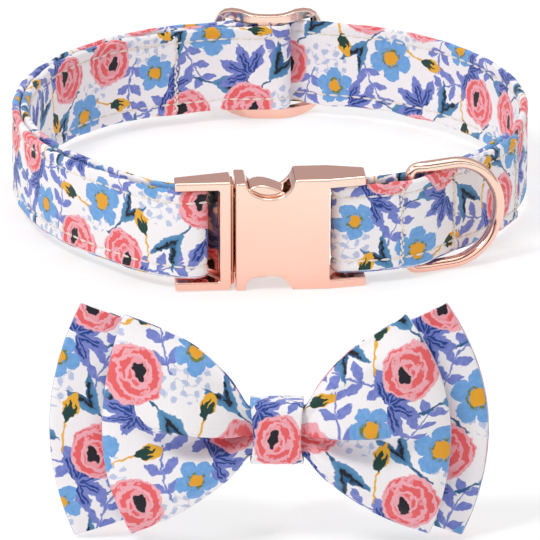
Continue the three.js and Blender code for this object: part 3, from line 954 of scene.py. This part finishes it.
@dataclass
class StitchRows:
    """Rows of stitches laid along guide lines by Geometry Nodes."""

    name: str
    pitch: float
    length: float
    width: float
    guides: list[list[Vector]] = field(default_factory=list)

    def guide_object(self) -> bpy.types.Object:
        """Join the guide lines into one object of edges."""
        mesh = bpy.data.meshes.new(f"{self.name}_guides")
        points, edges = [], []
        for guide in self.guides:
            start = len(points)
            points += guide
            edges += [(start + i, start + i + 1) for i in range(len(guide) - 1)]
        mesh.from_pydata(points, edges, [])
        return linked(self.name, mesh)

    @staticmethod
    def tree() -> bpy.types.NodeTree:
        """Build the tree that lays one rounded stitch on each step of each guide."""
        tree = bpy.data.node_groups.new("stitch_rows", "GeometryNodeTree")
        face = tree.interface
        face.new_socket("Guides", in_out="INPUT", socket_type="NodeSocketGeometry")
        for name in ("Pitch", "Stitch Length", "Stitch Width"):
            face.new_socket(name, in_out="INPUT", socket_type="NodeSocketFloat")
        face.new_socket("Thread", in_out="INPUT", socket_type="NodeSocketMaterial")
        face.new_socket("Stitches", in_out="OUTPUT", socket_type="NodeSocketGeometry")
        kinds = {
            "given": "NodeGroupInput", "curve": "GeometryNodeMeshToCurve",
            "spaced": "GeometryNodeResampleCurve", "tangent": "GeometryNodeInputTangent",
            "aligned": "FunctionNodeAlignRotationToVector", "grain": "GeometryNodeMeshUVSphere",
            "scale": "ShaderNodeCombineXYZ", "shaped": "GeometryNodeTransform",
            "laid": "GeometryNodeInstanceOnPoints", "real": "GeometryNodeRealizeInstances",
            "threaded": "GeometryNodeSetMaterial", "result": "NodeGroupOutput",
        }
        made = {name: tree.nodes.new(kind) for name, kind in kinds.items()}
        made["spaced"].mode = "LENGTH"
        made["aligned"].axis = "X"
        for name, value in (("Segments", 8), ("Rings", 5), ("Radius", 0.5)):
            made["grain"].inputs[name].default_value = value
        links = (
            ("given", "Guides", "curve", "Mesh"), ("curve", "Curve", "spaced", "Curve"),
            ("given", "Pitch", "spaced", "Length"), ("tangent", "Tangent", "aligned", "Vector"),
            ("given", "Stitch Length", "scale", "X"), ("given", "Stitch Width", "scale", "Y"),
            ("given", "Stitch Width", "scale", "Z"), ("grain", "Mesh", "shaped", "Geometry"),
            ("scale", "Vector", "shaped", "Scale"), ("spaced", "Curve", "laid", "Points"),
            ("shaped", "Geometry", "laid", "Instance"), ("aligned", "Rotation", "laid", "Rotation"),
            ("laid", "Instances", "real", "Geometry"), ("real", "Geometry", "threaded", "Geometry"),
            ("given", "Thread", "threaded", "Material"), ("threaded", "Geometry", "result", "Stitches"),
        )
        for source, output, target, socket in links:
            tree.links.new(made[source].outputs[output], made[target].inputs[socket])
        return tree

    def build(self, thread: bpy.types.Material, body: Body) -> bpy.types.Object:
        """Lay the stitches and keep them as a plain mesh."""
        piece = self.guide_object()
        modifier = piece.modifiers.new("stitches", "NODES")
        modifier.node_group = self.tree()
        values = {"Pitch": self.pitch * MM, "Stitch Length": self.length * MM,
                  "Stitch Width": self.width * MM, "Thread": thread}
        for socket in modifier.node_group.interface.items_tree:
            if socket.in_out == "INPUT" and socket.name in values:
                modifier[socket.identifier] = values[socket.name]
        settled = piece.evaluated_get(bpy.context.evaluated_depsgraph_get())
        mesh = bpy.data.meshes.new_from_object(settled)
        piece.modifiers.clear()
        piece.data = mesh
        for polygon in mesh.polygons:
            polygon.use_smooth = True
        dress(piece, thread, body)
        log.info("%s: %d faces", piece.name, len(mesh.polygons))
        return piece


@dataclass
class Strap:
    """The collar's strap: its three layers and their stitching."""

    cotton: bpy.types.Material
    thread: bpy.types.Material
    outer: StrapLayer = field(init=False)
    inner: StrapLayer = field(init=False)
    fold: StrapLayer = field(init=False)

    def __post_init__(self) -> None:
        """Read the three layers from the frame."""
        self.outer = StrapLayer("strap_outer_run", print_u=7.0, print_v=14.0)
        self.inner = StrapLayer("strap_inner_run", print_u=29.0, print_v=3.0)
        self.fold = StrapLayer("strap_fold", print_u=16.0, print_v=26.0, crumple=0.6)

    def running_rows(self) -> StitchRows:
        """Lay a running stitch near both edges of every layer, inside and out."""
        rows = StitchRows("running_stitches", pitch=3.3, length=2.75, width=0.62)
        for layer in (self.outer, self.inner, self.fold):
            half = (layer.high - layer.low) / MM / 2
            last = len(layer.line.points) - 1
            out = layer.thickness / 2 - layer.groove + 0.16
            for height in (half - layer.stitch_inset, layer.stitch_inset - half):
                for side in (1, -1):
                    rows.guides.append([
                        layer.at(i, height, side * (out + self.lift(layer, i, height, side)))
                        for i in range(2, last - 1)])
        return rows

    @staticmethod
    def lift(layer: StrapLayer, index: int, height: float, side: int) -> float:
        """Follow the cloth's pucker at a stitch."""
        more, _ = layer.pucker(layer.line.lengths[index] / MM, height, side)
        return more

    def cross_rows(self) -> StitchRows:
        """Lay the upright bar tacks that hold the folds."""
        rows = StitchRows("bar_tacks", pitch=0.95, length=1.25, width=0.55)
        ring = Vector(frame["joints"][0]["pos_m"][:2])
        by_ring = self.fold.line.nearest(lambda p: (p - ring).length)
        slider_low, slider_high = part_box("slider")
        slider_x = (slider_low[0] + slider_high[0]) / 2
        back = slider_high[1]
        tail = self.inner.line.nearest(
            lambda p: abs(p.x - slider_x + 25.5 * MM) + abs(p.y - back + 14.0 * MM))
        end = len(self.fold.line.points) - 1
        spots = (
            (self.fold, by_ring - self.stations(self.fold, 4.4), 1),
            (self.fold, by_ring + self.stations(self.fold, 14.5), 1),
            (self.fold, end - self.stations(self.fold, 1.6), 1),
            (self.inner, tail, -1),
        )
        for layer, index, side in spots:
            rows.guides.append(self.tack(layer, index, side))
        return rows

    @staticmethod
    def stations(layer: StrapLayer, distance: float) -> int:
        """Count a layer's stations in a distance in millimetres."""
        return round(distance / layer.step)

    @staticmethod
    def tack(layer: StrapLayer, index: int, side: int) -> list[Vector]:
        """Draw a zigzag up the strap's height."""
        half = (layer.high - layer.low) / MM / 2 - 1.4
        points = []
        turns = 26
        along = (layer.line.points[index + 1] - layer.line.points[index]).normalized()
        for n in range(turns + 1):
            height = -half + 2 * half * n / turns
            more, _ = layer.pucker(layer.line.lengths[index] / MM, height, side)
            spot = layer.at(index, height, side * (layer.thickness / 2 + 0.15 + more))
            sway = 0.45 * MM * (1 if n % 2 else -1)
            points.append(spot + Vector((along.x * sway, along.y * sway, 0)))
        return points

    def build(self) -> None:
        """Build every layer and its stitches."""
        for layer in (self.outer, self.inner, self.fold):
            layer.build(self.cotton)
        self.running_rows().build(self.thread, Body.COLLAR)
        self.cross_rows().build(self.thread, Body.COLLAR)


# ---------------------------------------------------------------- metal fittings


@dataclass
class Fittings:
    """The cast fittings: both halves of the buckle and the slider."""

    metal: bpy.types.Material
    edge: float = 0.5
    slider_edge: float = 0.3

    def build(self) -> None:
        """Round the fittings' edges and finish them."""
        widths = {"buckle_female": self.edge, "buckle_male": self.edge, "slider": self.slider_edge}
        for node, width in widths.items():
            piece = copied_node(f"{node}_metal", node)
            rounded(piece, width, 4)
            dress(piece, self.metal, Body.COLLAR)
            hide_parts(node)
            log.info("%s: %d faces before rounding", piece.name, len(piece.data.polygons))


@dataclass
class LeashRing:
    """The D-ring: a cast wire, round in the strap's pocket and broader outside it."""

    metal: bpy.types.Material
    yaw: float = 24.0
    straight: float = 12.0
    corner: float = 2.0
    swell: float = 4.0
    wire: float = 3.0
    deep: float = 4.2
    bar: float = 2.8
    sides: int = 20
    step: float = 0.7

    def route(self, mid: float) -> list[tuple[float, float, float]]:
        """Go round the D.

        Args:
            mid: half the ring's height at the middle of its wire, in millimetres.

        Returns:
            Points as distance from the bar, height from the middle, and the outward angle.
        """
        reach = mid - self.corner
        line = []
        bar_steps = round(2 * reach / self.step)
        line += [(0.0, -reach + 2 * reach * n / bar_steps, math.pi) for n in range(bar_steps)]
        corner_steps = 6
        for n in range(corner_steps):
            a = math.pi - n / corner_steps * math.pi / 2
            line.append((self.corner + self.corner * math.cos(a), reach + self.corner * math.sin(a), a))
        arm_steps = round((self.straight - self.corner) / self.step)
        arm = [self.corner + (self.straight - self.corner) * n / arm_steps for n in range(arm_steps)]
        line += [(along, mid, math.pi / 2) for along in arm]
        bow_steps = round(mid * math.pi / self.step)
        for n in range(bow_steps):
            a = math.pi / 2 - n / bow_steps * math.pi
            line.append((self.straight + mid * math.cos(a), mid * math.sin(a), a))
        line += [(self.straight + self.corner - along, -mid, -math.pi / 2) for along in arm]
        for n in range(corner_steps):
            a = -math.pi / 2 - n / corner_steps * math.pi / 2
            line.append((self.corner + self.corner * math.cos(a), -reach + self.corner * math.sin(a), a))
        return line

    def build(self) -> None:
        """Sweep the wire round the D and finish it."""
        low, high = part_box("d_ring")
        middle = (low[2] + high[2]) / 2
        mid = (high[2] - low[2]) / MM / 2 - self.wire / 2 + 0.05
        hinge = Vector(frame["joints"][0]["pos_m"])
        turned = Matrix.Rotation(math.radians(self.yaw), 3, "Z")
        rows, places = [], []
        for along, up, turn in self.route(mid):
            outside = ease(along, 0.2, self.swell)
            deep = (self.bar + (self.deep - self.bar) * outside) / 2
            flat = (self.bar + (self.wire - self.bar) * outside) / 2
            row = []
            for n in range(self.sides):
                a = n / self.sides * math.tau
                out = flat * math.cos(a)
                spot = Vector((along + out * math.cos(turn), deep * math.sin(a), up + out * math.sin(turn)))
                row.append(turned @ (spot * MM) + Vector((hinge.x, hinge.y, middle)))
            rows.append(row)
            places.append([(0.0, 0.0)] * (self.sides + 1))
        rows.append(rows[0])
        places.append(places[0])
        piece = skin("d_ring_metal", rows, places, ring=True, capped=False)
        weld(piece)
        dress(piece, self.metal, Body.RING)
        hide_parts("d_ring")
        log.info("%s: %d faces", piece.name, len(piece.data.polygons))


def weld(piece: bpy.types.Object) -> None:
    """Merge a mesh's doubled points and turn its faces outwards."""
    built = bmesh.new()
    built.from_mesh(piece.data)
    bmesh.ops.remove_doubles(built, verts=built.verts, dist=SAME_WIRE_POINT)
    bmesh.ops.recalc_face_normals(built, faces=built.faces)
    built.to_mesh(piece.data)
    built.free()


# ---------------------------------------------------------------- bow tie

# Distance from the knot (0) to the folded edge (1), and the height of the cloth above and below.
WING_HEIGHT = (
    (0.0, 5.3, 5.3), (0.15, 5.5, 5.4), (0.185, 7.3, 6.6), (0.225, 10.4, 8.7), (0.3, 14.6, 12.0),
    (0.44, 20.0, 16.2), (0.6, 23.8, 19.9), (0.8, 26.8, 22.9), (1.0, 29.0, 25.0),
)
# The same distance, and how far the front and the back sheet stand off the loop's middle plane.
WING_PUFF = (
    (0.0, 1.1, 1.1), (0.163, 1.1, 1.1), (0.3, 3.6, 1.4), (0.55, 6.0, 1.6), (0.85, 6.2, 1.6), (1.0, 5.6, 1.6),
)
# The same distance, and where the front fold's lip lies, as a share of the height there.
LEFT_LIP = ((0.0, -0.02), (0.2, -0.02), (0.4, 0.03), (0.62, 0.09), (0.8, 0.17), (1.0, 0.2))
RIGHT_LIP = ((0.0, -0.05), (0.2, -0.05), (0.45, 0.0), (0.68, 0.05), (0.93, 0.18), (1.0, 0.2))
# Half the height of a loop's sheet, in millimetres, as its print is laid.
PRINT_HALF = 27.0


@dataclass
class BowLoop:
    """One of the bow tie's two loops of doubled cloth, pinched at the knot."""

    name: str
    node: str
    depth: float
    left: tuple[float, float, float]
    right: tuple[float, float, float]
    scale: float
    front_sign: int
    pleat: float
    print_u: float
    print_v: float
    wall: float = 0.95
    columns: int = 150
    rows: int = 76

    def sheet_point(self, turn: float, rise: float) -> tuple[Vector, tuple[float, float]]:
        """Find a place on the loop.

        Args:
            turn: the angle round the loop, 0 at the right-hand fold.
            rise: from -1 at the lower rim to 1 at the upper one.

        Returns:
            The point in the bow's own frame and the cloth's coordinates, in millimetres.
        """
        across = math.cos(turn)
        at = abs(across)
        top, middle, bottom = self.left if across < 0 else self.right
        corner = top if rise > 0 else bottom
        x = across * (middle + (corner - middle) * rise * rise * at * at)
        above = lookup(WING_HEIGHT, at, 1) * (1 + (self.scale - 1) * at)
        below = lookup(WING_HEIGHT, at, 2) * (1 + (self.scale - 1) * at)
        side = 1 if math.sin(turn) >= 0 else -1
        front = side == self.front_sign
        puff = lookup(WING_PUFF, at, 1 if front else 2)
        pinch = 1 - 0.8 * ease(abs(rise), 0.72, 1.0) * ease(at, 0.2, 0.4)
        roundness = abs(math.sin(turn)) ** 0.55 * pinch
        z = rise * (above if rise > 0 else below)
        y = side * puff * roundness
        cloth_v = z + (rise * PRINT_HALF - z) * 0.18
        forward = self.front_sign
        flare = ease(at, 0.14, 0.3)
        if front and self.pleat:
            lip = LEFT_LIP if across < 0 else RIGHT_LIP
            y, z, cloth_v = self.pleated(lip, at, rise, (y, z, cloth_v))
        if front:
            y += forward * self.creases(at, rise, across) * roundness
        ripple = noise.noise(Vector((x * 0.07, z * 0.07, self.print_u + side)))
        y += side * 0.55 * ripple * flare * roundness * (1.0 if front else 0.3)
        return Vector((x, y + self.depth, z)), (x + side * 60 + self.print_u, cloth_v + self.print_v)

    def pleated(
        self, lip: Sequence[Row], at: float, rise: float, spot: tuple[float, float, float],
    ) -> tuple[float, float, float]:
        """Fold the front sheet over itself along its middle, deepest at the knot.

        Args:
            lip: where the fold's lip lies.
            at: distance from the knot, from 0 to 1.
            rise: from -1 at the lower rim to 1 at the upper one.
            spot: how far forward and how high the flat cloth is, and its print's coordinate.

        Returns:
            The same three values of the folded cloth.
        """
        y, z, cloth_v = spot
        span = 0.30
        height = lookup(WING_HEIGHT, at, 1)
        overlap = self.pleat * (1 - ease(at, 0.12, 0.86)) * min(height / 15.0, 1.0)
        crease = lookup(lip, at, 1) + overlap / height - span / 4
        phase = min(max((rise - crease) / span, -0.5), 0.5)
        z -= overlap * math.sin(math.tau * phase)
        step = 0.5 + 0.5 * math.sin(math.pi * min(max(phase * 1.7, -0.5), 0.5))
        room = 0.85 * (lookup(WING_PUFF, at, 1) + 0.5)
        drop = room * (1 - ease(at, 0.35, 0.95)) + 0.6 * ease(at, 0.16, 0.3)
        hollow = math.exp(-(((rise - crease + 0.16) / 0.3) ** 2))
        bulge = math.exp(-(((rise - crease - 0.2) / 0.34) ** 2))
        inward = -self.front_sign
        y += inward * drop * ((1 - step) * hollow * 1.0 - step * bulge * 0.45)
        cloth_v += 3.2 * (step - 0.5)
        return y, z, cloth_v

    def creases(self, at: float, rise: float, across: float) -> float:
        """Work out the soft folds that fan out from the knot."""
        near = ease(at, 0.15, 0.24) * (1 - ease(at, 0.26, 0.75))
        phase = 1.3 if across > 0 else 0.2
        folds = math.sin(rise * 8.5 + phase) + 0.6 * math.sin(rise * 14.0 + phase * 2.3)
        long_fold = math.exp(-(((rise + 0.45 - 0.25 * at) / 0.13) ** 2)) * (1 - ease(at, 0.5, 1.0)) * 0.5
        return 0.6 * near * folds + long_fold * ease(at, 0.16, 0.3)

    def build(self, cotton: bpy.types.Material, place: Matrix) -> bpy.types.Object:
        grid, cloth = [], []
        turns = [self.turn_at(i) for i in range(self.columns)]
        for j in range(self.rows + 1):
            rise = -1 + 2 * j / self.rows
            found = [self.sheet_point(turn, rise) for turn in turns]
            grid.append([place @ (point * MM) for point, _ in found])
            row = [where for _, where in found]
            cloth.append(row + [row[0]])
        piece = skin(self.name, grid, cloth, ring=True, capped=False)
        wall = piece.modifiers.new("wall", "SOLIDIFY")
        wall.thickness = self.wall * MM
        wall.offset = 0.0
        refine(piece, 1)
        dress(piece, cotton, Body.COLLAR)
        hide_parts(self.node)
        return piece

    def turn_at(self, index: int) -> float:
        """Space the columns round the loop, closer at the folded edges and beside the knot."""
        t = index / self.columns * math.tau
        return t + 0.10 * math.sin(2 * t) - 0.02 * math.sin(4 * t)


@dataclass
class BowTie:
    """The bow tie: two stacked loops, the band round their middle and the elastic behind."""

    cotton: bpy.types.Material
    elastic: bpy.types.Material
    lean: float = 9.0
    knot_width: float = 13.0
    knot_height: float = 15.4
    knot_depth: float = 12.6

    def place(self) -> Matrix:
        """Work out the bow's own frame from the knot's box."""
        low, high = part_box("bow_knot")
        centre = (Vector(low) + Vector(high)) / 2
        return Matrix.Translation(centre) @ Matrix.Rotation(math.radians(-self.lean), 4, "X")

    def loops(self) -> tuple[BowLoop, BowLoop]:
        """Describe the two loops; each edge is its half-width at the top, middle and bottom."""
        front = BowLoop(
            "bow_front_cloth", "bow_front", depth=-2.3, left=(36.4, 41.8, 34.8), right=(30.6, 41.6, 36.4),
            scale=1.0, front_sign=-1, pleat=3.4, print_u=18.0, print_v=6.0)
        rear = BowLoop(
            "bow_rear_cloth", "bow_rear", depth=2.5, left=(46.9, 54.6, 48.6), right=(40.6, 50.8, 44.4),
            scale=1.06, front_sign=1, pleat=0.0, print_u=9.0, print_v=29.0)
        return front, rear

    def band_rows(
        self, width: float, depth: float, height: float, round_by: float, waist: float,
        centre: Vector, place: Matrix, origin: tuple[float, float],
    ) -> tuple[list, list]:
        """Work out a band round the bow's own x axis.

        Args:
            width: the band's width along x, in millimetres.
            depth: its outside size from front to back.
            height: its outside height.
            round_by: the radius of its corners.
            waist: how much its sides curve in at mid-height.
            centre: its middle in the bow's own frame.
            place: the bow's own frame.
            origin: the cloth's coordinates where the band starts.

        Returns:
            Rows of points in metres, and the cloth's coordinates.
        """
        outline = []
        per_corner = 7
        corners = ((1, -1, -90), (1, 1, 0), (-1, 1, 90), (-1, -1, 180))
        for side_y, side_z, start in corners:
            for n in range(per_corner + 1):
                a = math.radians(start + 90 * n / per_corner)
                y = side_y * (depth / 2 - round_by) + round_by * math.cos(a)
                z = side_z * (height / 2 - round_by) + round_by * math.sin(a)
                outline.append(Vector((0, y, z)))
        dense = []
        for a, b in zip(outline, outline[1:] + outline[:1]):
            pieces = max(round((b - a).length / 0.7), 1)
            dense += [a.lerp(b, n / pieces) for n in range(pieces)]
        run = [0.0]
        for a, b in zip(dense, dense[1:] + dense[:1]):
            run.append(run[-1] + (b - a).length)
        steps = round(width / 0.6)
        rows, places = [], []
        for i in range(steps + 1):
            t = -1 + 2 * i / steps
            row = []
            for spot in dense:
                lift = spot.z / (height / 2)
                half = width / 2 - waist * (1 - lift * lift)
                ridge = 0.22 * noise.noise(Vector((t * 2.4, spot.z * 0.12, width)))
                out = Vector((0, math.copysign(1, spot.y), 0)) * ridge if abs(spot.y) > 3 else Vector()
                row.append(place @ ((Vector((t * half, spot.y, spot.z)) + centre + out) * MM))
            rows.append(row)
            places.append([(t * width / 2 + origin[0], length + origin[1]) for length in run])
        return rows, places

    def build(self) -> None:
        """Build the loops, the knot and the elastic."""
        place = self.place()
        for loop in self.loops():
            piece = loop.build(self.cotton, place)
        rows, places = self.band_rows(
            self.knot_width, self.knot_depth, self.knot_height, 3.0, 0.75, Vector(), place, (31.5, 41.0))
        self.band("bow_knot_cloth", "bow_knot", rows, places, 1.1, self.cotton)
        low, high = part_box("elastic_loop")
        middle = place.inverted() @ ((Vector(low) + Vector(high)) / 2) / MM
        rows, places = self.band_rows(10.0, 8.0, 14.6, 2.0, 0.0, middle, place, (0.0, 0.0))
        self.band("elastic_loop_knit", "elastic_loop", rows, places, 1.1, self.elastic)

    @staticmethod
    def cloth_area(piece: bpy.types.Object) -> float:
        """Add up one side of a loop as it is built, pinched; it is less than its cut rectangle."""
        return sum(polygon.area for polygon in piece.data.polygons)

    def band(
        self, name: str, node: str, rows: list, places: list, wall: float,
        material: bpy.types.Material,
    ) -> None:
        """Build a band with a wall on its inner side."""
        piece = skin(name, rows, places, ring=True, capped=False)
        length = places[0][-1][1] - places[0][0][1]
        width = places[-1][0][0] - places[0][0][0]
        thick = piece.modifiers.new("wall", "SOLIDIFY")
        thick.thickness = wall * MM
        thick.offset = -1.0
        refine(piece, 1)
        dress(piece, material, Body.COLLAR)
        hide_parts(node)
        length * MM
        width * MM
        log.info("%s: cloth %.0f by %.0f mm", name, length, width)


# ---------------------------------------------------------------- studio


@dataclass
class Studio:
    """The floor, the lights and the camera."""

    elevation: float = 20.4
    distance: float = 2.0
    lens: float = 502.0
    aim_behind_buckle: float = 2.4
    floor_side: float = 6.0
    sky_strength: float = 0.54

    def camera(self) -> None:
        """Look at the collar from above its front, through a long lens."""
        _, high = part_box("buckle_female")
        aim = Vector((0.0, high[1] + self.aim_behind_buckle * MM, 0.0))
        tilt = math.radians(self.elevation)
        data = bpy.data.cameras.new("studio_camera")
        data.lens = self.lens
        data.sensor_width = 36.0
        data.clip_end = 20.0
        made = linked("studio_camera", data)
        made.location = aim + Vector((0, -math.cos(tilt), math.sin(tilt))) * self.distance
        made.rotation_euler = (math.pi / 2 - tilt, 0, 0)
        bpy.context.scene.camera = made

    def lamp(self, name: str, place: Row, size: float, power: float, aim: Row = (0, 0, 0.02)) -> None:
        """Hang a square soft light.

        Args:
            name: the light's name.
            place: where it hangs, in metres.
            size: its side in metres.
            power: its power in watts.
            aim: the point that it faces.
        """
        data = bpy.data.lights.new(name, "AREA")
        data.size = size
        data.energy = power
        made = linked(name, data)
        made.location = place
        made.rotation_euler = (Vector(aim) - Vector(place)).to_track_quat("-Z", "Y").to_euler()

    def floor(self) -> None:
        """Lay the floor."""
        mesh = bpy.data.meshes.new("studio_floor")
        side = self.floor_side
        corners = [(-side, -side, 0), (side, -side, 0), (side, side, 0), (-side, side, 0)]
        mesh.from_pydata(corners, [], [(0, 1, 2, 3)])
        mesh.materials.append(Paper().material())
        linked("studio_floor", mesh)

    def sky(self) -> None:
        """Surround the set with soft white; polished metal sees panels with dark gaps between them."""
        world = bpy.data.worlds.new("studio_world")
        bpy.context.scene.world = world
        world.use_nodes = True
        shader = Shader.of_tree(world.node_tree)
        white = {"Color": (1.0, 1.0, 1.0, 1.0), "Strength": self.sky_strength}
        plain = shader.out(shader.node("ShaderNodeBackground", {}, white))
        place = shader.out(shader.node("ShaderNodeTexCoord", {}, {}), "Generated")
        _, y, z = shader.split(place)
        around = shader.math("ARCTAN2", z, y * -1.0) * (1 / math.pi)
        ramp = shader.node("ShaderNodeValToRGB", {}, {"Fac": around})
        self.panels(ramp.color_ramp)
        glossy = shader.out(shader.node("ShaderNodeBackground", {}, {"Color": shader.out(ramp, "Color")}))
        rays = shader.out(shader.node("ShaderNodeLightPath", {}, {}), "Is Glossy Ray")
        mixed = shader.out(shader.node("ShaderNodeMixShader", {}, {0: rays, 1: plain, 2: glossy}))
        shader.node("ShaderNodeOutputWorld", {}, {"Surface": mixed})

    @staticmethod
    def panels(ramp: bpy.types.ColorRamp) -> None:
        """Set the bright panels and the warm dark gaps that polished metal sees."""
        stops = (
            (0.0, 0.6), (0.03, 0.02), (0.10, 0.04), (0.13, 1.25), (0.36, 1.2), (0.39, 0.05),
            (0.47, 0.04), (0.50, 1.15), (0.70, 1.0), (0.78, 0.54), (1.0, 0.5),
        )
        ramp.elements[0].position = stops[0][0]
        for position, _ in stops[1:-1]:
            ramp.elements.new(position)
        for element, (position, level) in zip(ramp.elements, stops):
            element.position = position
            warm = 0.45 if level < 0.3 else 0.78 if level < 0.58 else 1.0
            element.color = (level, level * warm, level * warm, 1.0)

    def build(self) -> None:
        """Set up the whole studio."""
        self.camera()
        self.floor()
        self.sky()
        self.lamp("key", (-0.6, -0.5, 1.2), 0.35, 8.0)
        self.lamp("top", (0.2, 0.4, 1.2), 0.5, 3.0)
        scene = bpy.context.scene
        scene.view_settings.view_transform = "Standard"
        scene.view_settings.look = "None"
        scene.view_settings.exposure = 0.0


def main() -> None:
    """Build the studio and every sub-assembly of the collar."""
    logging.basicConfig(level=logging.INFO, format="%(message)s")
    Studio().build()
    cotton = PrintedCotton().material()
    metal = RoseGold().material()
    Strap(cotton, Thread().material()).build()
    Fittings(metal).build()
    LeashRing(metal).build()
    BowTie(cotton, RibbedElastic().material()).build()
    bpy.context.view_layer.update()


if __name__ == "__main__":
    main()
